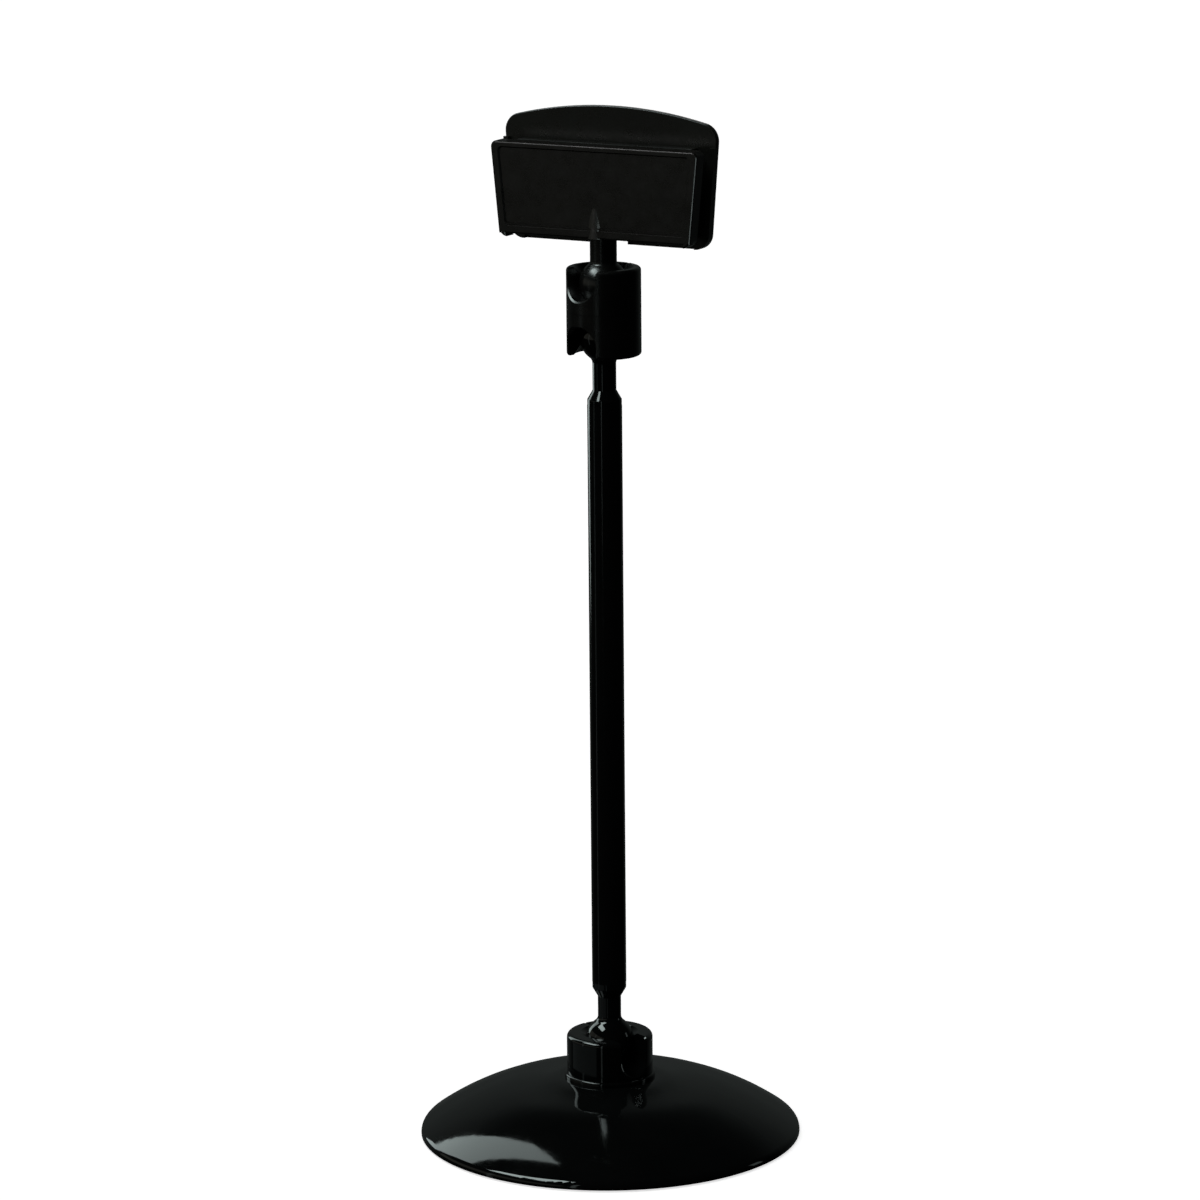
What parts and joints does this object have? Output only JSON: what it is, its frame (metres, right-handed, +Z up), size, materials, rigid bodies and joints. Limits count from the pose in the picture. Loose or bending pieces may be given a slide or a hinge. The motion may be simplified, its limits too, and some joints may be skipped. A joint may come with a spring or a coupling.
{
  "type": "tabletop sign clip stand",
  "caption": "Black tabletop sign clip: domed weighted round foot, snap ball socket, straight rod, double ball socket and a sprung two-jaw card clip that tilts and turns.",
  "frame": {"origin": "on the table, under the centre of the round foot", "axes": "+Z up along the rod, -Y the way the front jaw faces, +X to the right of someone facing it"},
  "size_m": [0.1, 0.1, 0.2715],
  "materials": {
    "gloss_black": "polished moulded black plastic",
    "satin_black": "satin moulded black plastic",
    "black_plastic": "fine-textured black plastic",
    "soft_black": "soft black rubber",
    "steel": "bright zinc-plated steel",
    "ballast": "oiled pressed steel"
  },
  "bodies": {
    "foot": {"foot_cover": "gloss_black", "bottom_plate": "black_plastic", "plate_screws": "steel", "anti_slip_ring": "soft_black", "ballast_lower": "ballast", "ballast_upper": "ballast"},
    "socket": {"foot_socket": "gloss_black", "pivot_screw": "steel", "pivot_washer": "steel"},
    "stud": {"lower_ball_stud": "gloss_black"},
    "rod": {"rod_tube": "gloss_black", "upper_ball_stud": "gloss_black"},
    "link": {"double_socket": "satin_black"},
    "stem": {"clip_stem": "satin_black", "stem_retainer": "steel"},
    "clip": {"front_jaw": "satin_black", "front_grip_strip": "soft_black", "hinge_pin": "steel", "torsion_spring": "steel"},
    "back": {"back_jaw": "satin_black", "back_grip_strip": "soft_black"}
  },
  "joints": [
    {"name": "socket_swivel", "type": "hinge", "parent": "foot", "child": "socket", "pos_m": [0, 0, 0.0155], "axis": [0, 0, 1], "continuous": true},
    {"name": "rod_tilt", "type": "hinge", "parent": "socket", "child": "stud", "pos_m": [0, 0, 0.0254], "axis": [0.4067, 0.9135, 0], "range_deg": [-35, 90]},
    {"name": "rod_spin", "type": "hinge", "parent": "stud", "child": "rod", "pos_m": [0, 0, 0.05], "axis": [0, 0, 1], "continuous": true},
    {"name": "link_tilt", "type": "hinge", "parent": "rod", "child": "link", "pos_m": [0, 0, 0.2125], "axis": [0.9511, -0.309, 0], "range_deg": [-30, 80]},
    {"name": "clip_tilt", "type": "hinge", "parent": "link", "child": "stem", "pos_m": [0, 0, 0.2265], "axis": [0.9511, -0.309, 0], "range_deg": [-30, 90]},
    {"name": "clip_turn", "type": "hinge", "parent": "stem", "child": "clip", "pos_m": [0, 0, 0.2415], "axis": [0, 0, 1], "continuous": true},
    {"name": "jaw_open", "type": "hinge", "parent": "clip", "child": "back", "pos_m": [0, 0, 0.2512], "axis": [-1, 0, 0], "range_deg": [0, 14], "stiffness_Nm_per_rad": 0.05, "springref_deg": -45.84, "deforming": ["torsion_spring"]}
  ]
}
